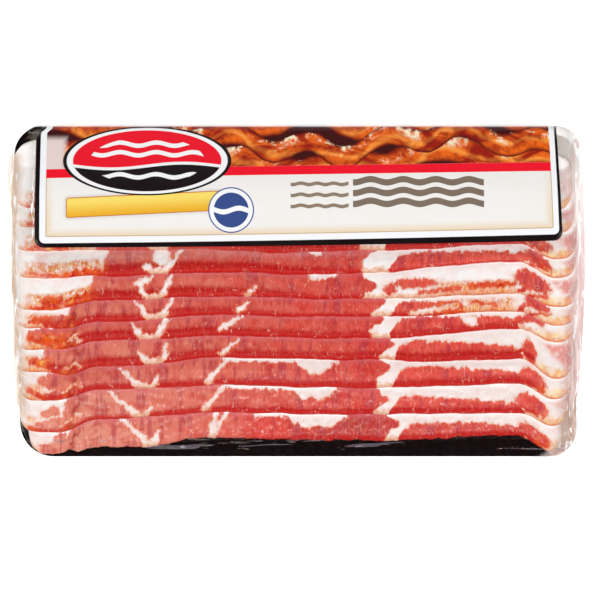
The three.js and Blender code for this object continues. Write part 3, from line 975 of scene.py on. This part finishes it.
class Ink:
    """A field over the label that adds, subtracts and compares, each step a Math node."""

    def __init__(self, nodes, socket):
        self.n, self.s = nodes, socket

    def op(self, operation, other=0.0):
        other = other.s if isinstance(other, Ink) else other
        return Ink(self.n, self.n.math(operation, self.s, other))

    def __add__(self, o):
        return self.op("ADD", o)

    def __sub__(self, o):
        return self.op("SUBTRACT", o)

    def __mul__(self, o):
        return self.op("MULTIPLY", o)

    def __truediv__(self, o):
        return self.op("DIVIDE", o)

    def high(self, o):
        return self.op("MAXIMUM", o)

    def low(self, o):
        return self.op("MINIMUM", o)

    def size(self):
        return self.op("ABSOLUTE")

    def sine(self):
        return self.op("SINE")

    def root(self):
        return self.op("SQRT")

    def inside(self, soft=0.08):
        """1 where the field is above 0, with an edge as sharp as print."""
        return self.n.span(self.s, -soft, soft)


def box(across, down, centre, half, corner=0.0):
    """Depth inside a rectangle, from its middle, its half sizes and the radius of its corners."""
    dx = (across - centre[0]).size() - (half[0] - corner)
    dy = (down - centre[1]).size() - (half[1] - corner)
    if corner:
        outside = (dx.high(0) * dx.high(0) + dy.high(0) * dy.high(0)).root()
        return (outside + dx.high(dy).low(0)) * -1 + corner
    return dx.high(dy) * -1


def disc(across, down, centre, radii):
    """Depth inside a round or oval shape."""
    dx, dy = (across - centre[0]) / radii[0], (down - centre[1]) / radii[1]
    return ((dx * dx + dy * dy).root() * -1 + 1) * min(radii)


def ribbon(field, half):
    """Depth inside a strip on both sides of where a field is 0."""
    return field.size() * -1 + half


class Print:
    """Print on one side of the card: shapes laid over each other, measured in millimetres."""

    def __init__(self, nodes, where, ground):
        x, y, _ = nodes.axes(where)
        self.n = nodes
        self.x = Ink(nodes, x) / MM
        self.y = Ink(nodes, y) / MM
        self.colour = ground

    def tint(self, share, colour):
        self.colour = self.n.mix(share, self.colour, colour)

    def lay(self, shape, colour):
        """Cover the inside of a shape."""
        self.tint(shape.inside(), colour)


# Inks that several shapes are printed in
PRINT_BLACK = paint(26, 18, 20)
PRINT_RED = paint(240, 22, 44)
PRINT_WHITE = paint(250, 250, 250)
PRINT_PALE = paint(248, 248, 250)
PRINT_BROWN = paint(128, 112, 98)

# Cooked strips of the label's picture: centre down the label, two swings with their waves per mm,
# phase and half width
STRIPS = (
    (1.5, 3.4, 0.05, 2.6, 0.15, 5.0, 6.2),
    (20.0, 3.2, 0.043, 2.8, 0.13, 2.2, 6.4),
    (11.0, 4.4, 0.052, 3.4, 0.17, 0.6, 5.6),
)


def paper_grain_group():
    """Fine unevenness of the coated card, and the roughness that follows it."""
    inputs = (
        ("Place", "NodeSocketVector", None),
        ("Smoothest", "NodeSocketFloat", 0.3),
        ("Roughest", "NodeSocketFloat", 0.42),
    )
    outputs = (("Grain", "NodeSocketFloat"), ("Roughness", "NodeSocketFloat"))
    tree, n, given = group("paper grain", inputs, outputs)
    grain = n.noise(given["Place"], (60, 60, 60), 3.0)
    roughness = n.span(grain, 0.3, 0.7, given["Smoothest"], given["Roughest"])
    end_group(n, {"Grain": grain, "Roughness": roughness})
    return tree


def crisp_strip_group():
    """Colour and outline of a fried strip, from the distance across it: 0 at its middle, 1 at its side."""
    inputs = (("Across", "NodeSocketFloat", 0.0), ("Place", "NodeSocketVector", None))
    outputs = (("Colour", "NodeSocketColor"), ("Mask", "NodeSocketFloat"))
    tree, n, given = group("crisp fried strip", inputs, outputs)
    waver = n.math("SUBTRACT", n.noise(given["Place"], (48, 40, 40), 2.0), 0.5)
    grain = n.noise(given["Place"], (70, 110, 90), 3.0, 0.6, 0.8)
    fine = n.noise(given["Place"], (420, 300, 300), 3.0, 0.6)
    across = n.math("ADD", given["Across"], n.math("MULTIPLY", waver, 1.5))
    out = n.math("ABSOLUTE", across)
    colour = n.mix(n.span(grain, 0.36, 0.62), paint(158, 28, 10), paint(240, 104, 22))
    colour = n.mix(n.span(fine, 0.5, 0.66, 0.0, 0.5), colour, paint(128, 18, 10))
    streak = n.math("ABSOLUTE", n.math("SUBTRACT", across, n.math("MULTIPLY", waver, 5.0)))
    streak = n.math("MULTIPLY", n.span(streak, 0.42, 0.05), n.span(grain, 0.4, 0.6, 0.25, 0.85))
    colour = n.mix(streak, colour, paint(255, 160, 66))
    colour = n.mix(n.span(out, 0.55, 1.0), colour, paint(96, 12, 8))
    shine = n.math("MULTIPLY", n.span(grain, 0.52, 0.64), n.span(across, 0.1, -0.4))
    shine = n.math("MULTIPLY", shine, n.span(fine, 0.4, 0.56))
    colour = n.mix(shine, colour, paint(255, 236, 200))
    end_group(n, {"Colour": colour, "Mask": n.span(out, 1.02, 0.94)})
    return tree


def label_frame(sheet, u, v, w, grain):
    """White frame and cream panel: they lean out to the right, and narrow at the upper left corner."""
    n = sheet.n
    lean_out = w * 0.017
    along = u / 253
    low = w - (along * -1 + 1) * (along * 2.5 + 0.8)
    neck = Ink(n, n.span(v.s, 1.2, 4.2, 2.6, 0.0)) * Ink(n, n.span(u.s, 20, 40, 1.0, 0.0))
    frame = box(u - neck, low, (lean_out + 125.9, 25.9), (lean_out + 123.7, 30.8), corner=2.6)
    sheet.lay(frame, paint(248, 249, 252))
    panel = box(u - neck, low, (lean_out + 126.1, 25.4), (lean_out + 120.9, 28.3), corner=0.8)
    aged = n.math("MULTIPLY", n.span(panel.s, 5.0, 0.2), n.span(w.s, 26, 50, 0.25, 0.8))
    cream = n.mix(aged, paint(244, 241, 238), paint(236, 212, 174))
    cream = n.mix(n.span(panel.s, 0.7, 0.1), cream, paint(196, 164, 120))
    cream = n.mix(n.span(grain, 0.4, 0.7, 0.0, 0.08), cream, paint(236, 222, 200))
    sheet.lay(panel, cream)
    return panel


def label_picture(sheet, u, v, w, panel, where):
    """Crisp cooked strips that lie over each other along the top, with a pale patch at the left."""
    n = sheet.n
    crisp_strip = crisp_strip_group()
    scene = paint(64, 12, 12)
    for start, swing, pace, curl, quick, phase, half in STRIPS:
        middle = (u * pace + phase).sine() * swing + (u * quick + 2 * phase).sine() * curl + start
        place = n.stretch(where, (1, 1, 1), offset=(phase, half, 0))
        strip = n.use(crisp_strip, {"Across": ((w - middle) / half).s, "Place": place})
        scene = n.mix(strip["Mask"], scene, strip["Colour"])
    picture = (w * -1 + 21.85).low(panel)
    sheet.lay(picture, scene)
    patch = n.span(box(u, v, (8.6, 16.0), (4.6, 8.5)).s, -3.0, 1.0)
    sheet.tint(n.math("MULTIPLY", patch, picture.inside()), paint(232, 214, 210))


def label_bar_and_seal(sheet, u, v):
    """Gold bar with a soft shadow, and a round blue seal with a white wave."""
    n = sheet.n
    slanted = v + u * 0.048
    bar = box(u, slanted, (52.0, 41.2), (36.5, 4.4), corner=0.6)
    sheet.tint(n.span((bar + 1.0).s, -1.5, 1.5, 0.0, 0.35), paint(150, 130, 120))
    sheet.lay(bar + 0.45, paint(206, 120, 44))
    sheet.lay(bar, n.mix(n.span(slanted.s, 37.5, 45.5), paint(252, 224, 110), paint(240, 180, 48)))
    seal = disc(u, v, (94.2, 41.5), (11.0, 11.0))
    sheet.lay(seal, paint(60, 84, 150))
    sheet.lay(seal - 0.6, PRINT_PALE)
    sheet.lay(seal - 2.6, paint(56, 78, 140))
    wave = v - 41.5 + ((u - 94.2) * 0.42).sine() * 0.9
    sheet.lay(ribbon(wave, 1.2).low(seal - 2.6), PRINT_WHITE)


def label_badge(sheet, u, v):
    """Oval badge, red over black with a wavy divide, and three wavy white strips."""
    badge = disc(u, v, (53.7, 17.6), (40.5, 16.9))
    sheet.lay(badge, paint(28, 20, 22))
    sheet.lay(badge - 0.75, PRINT_PALE)
    field = badge - 2.0
    lower = v - 20.2 + ((u - 53.7) * 0.09).sine() * 1.4
    sheet.lay(field, PRINT_RED)
    sheet.lay(field.low(lower), PRINT_BLACK)
    sheet.lay(field.low(ribbon(lower, 0.7)), PRINT_PALE)
    for down in (9.5, 14.2, 25.0):
        strip = v - down + ((u - 53.7) * 0.36).sine() * 0.8
        sheet.lay(ribbon(strip, 1.05).low(field - 3.4), PRINT_WHITE)


def label_ornaments(sheet, u, v):
    """Brown wavy lines: three short thin ones, and three long thick ones beside them."""
    for down in (28.9, 34.2, 39.5):
        thin = box(u, v + (u * 0.8).sine() * 0.35, (136.6, down), (13.9, 0.85))
        sheet.lay(thin, paint(146, 126, 108))
    for down in (27.4, 32.6, 37.8):
        thick = box(u, v + (u * 0.4).sine() * 0.8, (184.0, down), (31.4, 1.55))
        sheet.lay(thick, PRINT_BROWN)


def label_material(grain_group):
    """Printed coated card: black rim, white frame, cream panel, food picture, stripe, badge and seal."""
    made, n = material("printed label card")
    where = n.place()
    paper = n.use(grain_group, {"Place": where, "Smoothest": 0.3, "Roughest": 0.42})
    sheet = Print(n, where, paint(16, 4, 6))
    u = sheet.x - FLAP_LEFT
    v = (sheet.y - PACK_HEIGHT / 2) * -1
    w = v + u * LABEL_TILT
    panel = label_frame(sheet, u, v, w, paper["Grain"])
    label_picture(sheet, u, v, w, panel, where)
    sheet.lay(ribbon(w - 24.0, 2.15).low(panel), paint(244, 20, 44))
    label_bar_and_seal(sheet, u, v)
    label_badge(sheet, u, v)
    label_ornaments(sheet, u, v)
    finish(
        n,
        {
            "Base Color": sheet.colour,
            "Roughness": paper["Roughness"],
            "Specular IOR Level": 0.1,
            "Coat Weight": 0.22,
            "Coat Roughness": 0.06,
            "Normal": n.bump(paper["Grain"], 0.0004, 0.25),
        },
    )
    return made


def back_material(grain_group):
    """Printed back of the card: black rim, red stripe, an empty ruled box, brown waves and a gold bar."""
    made, n = material("card back print")
    where = n.place()
    paper = n.use(grain_group, {"Place": where, "Smoothest": 0.34, "Roughest": 0.46})
    sheet = Print(n, where, paint(26, 17, 18))
    x, y = sheet.x, sheet.y
    panel = box(x, y, (0.0, 0.0), (128.0, 74.0))
    inner = panel - 4.0
    sheet.lay(panel, paint(244, 242, 240))
    cream = n.mix(n.span(paper["Grain"], 0.3, 0.7), paint(244, 238, 230), paint(240, 230, 214))
    sheet.lay(inner, cream)
    sheet.lay(ribbon(y - 48.0, 2.2).low(inner), paint(236, 24, 44))
    ruled = box(x, y, (60.0, -14.0), (52.0, 42.0))
    sheet.lay(ruled.low(ruled * -1 + 0.7), PRINT_BROWN)
    for down in range(-16, 45, 12):
        sheet.lay(ribbon(y + down, 0.35).low(ruled), PRINT_BROWN)
    column = ribbon(x + 62.0, 42.0)
    for down in range(-10, 15, 12):
        wave = ribbon(y + down + (x * 0.4).sine() * 0.8, 1.5)
        sheet.lay(wave.low(column), PRINT_BROWN)
    sheet.lay(ribbon(y + 52.0, 5.0).low(column), paint(244, 196, 72))
    finish(
        n,
        {
            "Base Color": sheet.colour,
            "Roughness": paper["Roughness"],
            "Coat Weight": 0.3,
            "Coat Roughness": 0.12,
            "Normal": n.bump(paper["Grain"], 0.0004, 0.25),
        },
    )
    return made


def lining_material():
    """Glossy black coating on the card's inner side, with a bare pale end at the right."""
    made, n = material("black card lining")
    where = n.place()
    speckle = n.noise(where, (300, 300, 300), 3.0)
    along, _, _ = n.axes(where)
    colour = n.mix(n.span(speckle, 0.4, 0.75), paint(14, 3, 5), paint(20, 6, 8))
    coat_end = n.math("ADD", along, n.math("MULTIPLY", n.math("SUBTRACT", speckle, 0.5), 0.004))
    colour = n.mix(n.span(coat_end, 0.1215, 0.1235), colour, paint(244, 236, 226))
    finish(
        n,
        {
            "Base Color": colour,
            "Roughness": n.span(speckle, 0.3, 0.7, 0.07, 0.1),
            "Specular IOR Level": 0.25,
        },
    )
    return made


# Film


def contents_height(x, y):
    """Highest surface of what the film lies on."""
    left, right = card_edges(y)
    inside = (x > left) & (x < right) & (np.abs(y) < CARD_HALF)
    top = np.where(inside, CARD_TOP, 0.3)
    for k in range(len(EDGE_LEVEL)):
        top = np.maximum(top, slice_top(k, x, y))
    share = np.clip((FOLD_END_Y - y) / (FOLD_END_Y - flap_end_y(x)), 0, 1)
    left, right = flap_sides(share)
    on_flap = (x > left) & (x < right) & (y > flap_end_y(x)) & (y < FOLD_END_Y)
    top = np.maximum(top, np.where(on_flap, flap_z(x, y) + CARD / 2, 0))
    radius = FOLD_RADIUS + CARD / 2
    on_fold = (x > ROLL_LEFT) & (x < FOLD_RIGHT) & (y >= FOLD_END_Y) & (y < FOLD_CENTRE_Y + radius)
    rise = np.sqrt(np.clip(radius**2 - (y - FOLD_CENTRE_Y) ** 2, 0, None))
    top = np.maximum(top, np.where(on_fold, CARD_MIDDLE + FOLD_RADIUS + rise, 0))
    on_corner = (x > roll_left(y)) & (x <= ROLL_LEFT) & (y > FOLD_CENTRE_Y) & (y < FOLD_CENTRE_Y + radius)
    inner = np.sqrt(np.clip((radius - CARD) ** 2 - (y - FOLD_CENTRE_Y) ** 2, 0, None))
    return np.maximum(top, np.where(on_corner, CARD_MIDDLE + FOLD_RADIUS - inner, 0))


def film_places(columns, rows):
    """Where the film's corners lie in plan, closer together near its edges, and its two sides."""

    def spread(steps):
        share = np.linspace(0, 1, steps + 1)
        return lerp(share, smooth(share, 0, 1), 0.35)

    u, v = np.meshgrid(spread(columns), spread(rows))
    y = lerp(-PACK_HEIGHT / 2, PACK_HEIGHT / 2, v)
    left, right = film_edges(y)
    left = left - UPPER_LEFT_PUFF * np.exp(-(((y - 56) / 12) ** 2))
    return lerp(left, right, u), y, left, right


def stretch_film(floor, rim):
    """Height of a skin that is pulled tight over the floor under it, and sucked down between."""
    z = np.where(rim, FILM_RIM_Z, floor)
    for _ in range(FILM_STEPS):
        mean = z.copy()
        mean[1:-1, 1:-1] = (z[:-2, 1:-1] + z[2:, 1:-1] + z[1:-1, :-2] + z[1:-1, 2:]) / 4
        z = np.where(rim, FILM_RIM_Z, np.maximum(mean - FILM_SUCTION, floor))
    return z


def film_wrinkles(x, y):
    """Pleats at both ends, and short folds over the black strip in front."""
    side = np.maximum(smooth(x, 127, 136), smooth(-x, 129, 137))
    pleat = np.sin(2 * math.pi * (x + 2.2 * ripple(x, y, 60, 7)) / 2.9 + 1.2 * ripple(x, y, 18, 9))
    wrinkle = side * (0.3 * pleat + 0.25 * ripple(x * 2.5, y, 9, 11)) + 0.05 * ripple(x, y, 7, 13)
    front = smooth(-y, 66, 71)
    return wrinkle + front * (0.3 * ripple(0.35 * x, y, 3.4, 21) + 0.2 * ripple(x, y, 4, 23))


def film_piece():
    """The clear film: a skin stretched over the contents, sucked down between them, and its flat back."""
    columns, rows = 290, 165
    x, y, left, right = film_places(columns, rows)
    rim = np.zeros_like(x, bool)
    rim[[0, -1], :] = True
    rim[:, [0, -1]] = True
    floor = contents_height(x, y) + FILM_LIFT
    z = stretch_film(floor, rim)
    depth = np.minimum(np.minimum(x - left, right - x), PACK_HEIGHT / 2 - np.abs(y))
    wrinkled = z + film_wrinkles(x, y) * smooth(depth, 0.3, 3)
    z = np.where(rim, z, np.maximum(wrinkled, floor))
    flat = np.where(rim, FILM_RIM_Z, FILM_BACK_Z)

    def skin(column, row):
        return np.column_stack((x[row, column], y[row, column], z[row, column]))

    def back(column, row):
        return np.column_stack((x[row, column], y[row, column], flat[row, column]))

    bm = grid_mesh(columns, rows, skin)
    under = grid_mesh(columns, rows, back)
    lower = bpy.data.meshes.new("film_back")
    under.to_mesh(lower)
    under.free()
    bm.from_mesh(lower)
    bpy.data.meshes.remove(lower)
    bmesh.ops.remove_doubles(bm, verts=bm.verts, dist=MERGE / 2)
    bmesh.ops.recalc_face_normals(bm, faces=bm.faces)
    made = piece("clear_film", bm, [film_material()], ["film"])
    mark_film(made)
    return made


def mark_film(made):
    """Marks for the film's finish: height over the contents, milky margins, and the strip in front."""
    x, y, z = corners_mm(made).T
    left, right = film_edges(y)
    over = z - contents_height(x, y)
    on_top = smooth(z, 0.3, 0.6)
    at_left = (1 - smooth(x - left, 1.0, 8.0)) * smooth(y, -64, -56) * (1 - smooth(y, 64, 69))
    at_right = (1 - smooth(right - x, 1.0, 12.0)) * smooth(y, -90, -80)
    mark(made, "gap", on_top * (over - FILM_LIFT))
    mark(made, "margin", on_top * np.maximum(at_left, at_right))
    mark(made, "front", on_top * smooth(-y, 71, 72.5) * smooth(over, 0.2, 0.5))


def film_material():
    """Clear tight film: unseen where it clings, milky where it bridges a gap or is creased at the ends,
    with painted highlights: bright streaks and glints on its margins, a glint along the label's side and
    shine on the black strip.
    """
    made, n = material("clear vacuum film")
    where = n.place()
    gap, margin, front = n.attribute("gap"), n.attribute("margin"), n.attribute("front")
    creases = n.noise(where, (230, 26, 60), 3.0, 0.55, 1.2)
    curls = n.noise(where, (330, 62, 60), 3.0, 0.5, 1.4, turn=0.35)
    streak = n.span(creases, 0.46, 0.62)
    curl = n.span(curls, 0.575, 0.62)
    # grey flakes of shine on the black strip along the front
    flakes = n.noise(where, (34, 420, 60), 3.0, 0.55, 0.8, turn=0.03)
    along, upward, outward = n.axes(where)
    strip = n.span(upward, -0.0768, -0.0758)
    flake = n.math("MULTIPLY", n.math("MULTIPLY", front, strip), n.span(flakes, 0.56, 0.59))
    milk = n.math("MULTIPLY", margin, n.math("ADD", 0.8, n.math("MULTIPLY", streak, 0.12)))
    glint = n.math("MULTIPLY", margin, curl)
    haze = n.math("MULTIPLY", n.span(gap, 1.4, 4.0, 0.0, 0.1), n.math("SUBTRACT", 1.0, front))
    alpha = n.math("MAXIMUM", haze, n.math("MAXIMUM", milk, glint))
    alpha = n.math("MAXIMUM", alpha, n.math("MULTIPLY", flake, 0.55))
    # painted highlight: a thin broken white glint along the label's left side, where the film leaves it
    wobble = n.math("MULTIPLY", n.math("SUBTRACT", curls, 0.5), 0.006)
    painted_rim_glint = n.math("ABSOLUTE", n.math("ADD", n.math("ADD", along, wobble), -FLAP_LEFT * MM + 0.0009))
    painted_rim_glint = n.math("MULTIPLY", n.span(painted_rim_glint, 0.0005, 0.0002), n.span(curls, 0.42, 0.5))
    along_label = n.math("MULTIPLY", n.span(upward, 0.023, 0.027), n.span(upward, 0.074, 0.07))
    painted_rim_glint = n.math("MULTIPLY", painted_rim_glint, along_label)
    above = n.span(outward, 0.001, 0.0015)
    alpha = n.math("MAXIMUM", alpha, n.math("MULTIPLY", painted_rim_glint, above))
    tint = n.mix(n.span(along, -0.02, 0.02), paint(236, 204, 176), paint(208, 152, 145))
    beside = n.span(along, 0.1, 0.11)
    # painted light: right of the label the milky film is painted paler, which lifts the shade between the
    # slices' ends and the card
    tint = n.mix(n.math("MULTIPLY", beside, n.span(upward, 0.02, 0.036)), tint, paint(244, 230, 225))
    tint = n.mix(n.math("MULTIPLY", beside, n.span(upward, 0.054, 0.064)), tint, paint(212, 210, 205))
    corner = n.math("MULTIPLY", n.span(upward, -0.05, -0.058), n.span(along, 0.12, 0.13))
    # painted highlight: brighter streaks on the milky margins, and white glints on the curls and along the
    # label's side
    painted_highlight_colour = n.mix(n.span(along, -0.02, 0.02), paint(255, 242, 228), paint(234, 206, 200))
    colour = n.mix(streak, tint, painted_highlight_colour)
    colour = n.mix(n.math("MULTIPLY", corner, 0.8), colour, paint(196, 160, 142))
    colour = n.mix(n.math("MAXIMUM", curl, painted_rim_glint), colour, paint(255, 255, 255))
    colour = n.mix(flake, colour, paint(124, 112, 124))
    finish(
        n,
        {
            "Base Color": colour,
            "Roughness": n.span(creases, 0.3, 0.7, 0.08, 0.2),
            "Specular IOR Level": 0.6,
            "Alpha": n.math("MINIMUM", alpha, 0.92),
            "Normal": n.bump(creases, 0.0006, 0.4),
        },
    )
    return made


# Scene


def soft_light(name, place, size, power):
    data = bpy.data.lights.new(name, "AREA")
    data.shape = "RECTANGLE"
    data.size, data.size_y = size
    data.energy = power
    lamp = bpy.data.objects.new(name, data)
    lamp.location = place
    lamp.rotation_mode = "QUATERNION"
    lamp.rotation_quaternion = (-lamp.location).to_track_quat("-Z", "Y")
    lamp.visible_camera = False
    bpy.context.scene.collection.objects.link(lamp)


def pale_floor():
    """A floor that shines a little, like a light table, so no shadow shows round the pack."""
    bm = bmesh.new()
    bmesh.ops.create_grid(bm, x_segments=1, y_segments=1, size=4.0)
    mesh = bpy.data.meshes.new("floor")
    bm.to_mesh(mesh)
    bm.free()
    made, n = material("pale floor")
    speckle = n.noise(n.place(), (40, 40, 40))
    finish(
        n,
        {
            "Base Color": n.mix(speckle, (0.9, 0.9, 0.9, 1), (0.92, 0.92, 0.92, 1)),
            "Roughness": 0.9,
            "Specular IOR Level": 0.0,
            "Emission Color": (1, 1, 1, 1),
            "Emission Strength": 0.5,
        },
    )
    mesh.materials.append(made)
    floor = bpy.data.objects.new("floor", mesh)
    bpy.context.scene.collection.objects.link(floor)


def studio_light():
    world = bpy.data.worlds.new("studio")
    world.use_nodes = True
    world.node_tree.nodes["Background"].inputs["Color"].default_value = (1, 1, 1, 1)
    world.node_tree.nodes["Background"].inputs["Strength"].default_value = 0.12
    bpy.context.scene.world = world
    soft_light("window_top", (0.0, 1.5, 0.8), (1.8, 0.7), 7.0)
    soft_light("window_left", (-1.15, -0.15, 0.75), (0.5, 1.2), 8.5)
    soft_light("window_right", (1.15, -0.15, 0.75), (0.5, 1.2), 8.5)
    soft_light("window_front", (0.0, -0.5, 1.42), (1.6, 0.5), 18.5)


def camera_above():
    camera = bpy.data.cameras.new("camera")
    camera.sensor_width = 36
    camera.lens = CAMERA_LENS
    camera.clip_start, camera.clip_end = 0.1, 20
    eye = bpy.data.objects.new("camera", camera)
    eye.location = (CAMERA_X * MM, CAMERA_Y * MM, CAMERA_HEIGHT)
    bpy.context.scene.collection.objects.link(eye)
    bpy.context.scene.camera = eye
    bpy.context.scene.view_settings.view_transform = "Standard"


pale_floor()
studio_light()
camera_above()
meat = meat_material()
for index in range(len(EDGE_LEVEL)):
    slice_piece(index, meat)
card_piece()
film_piece()
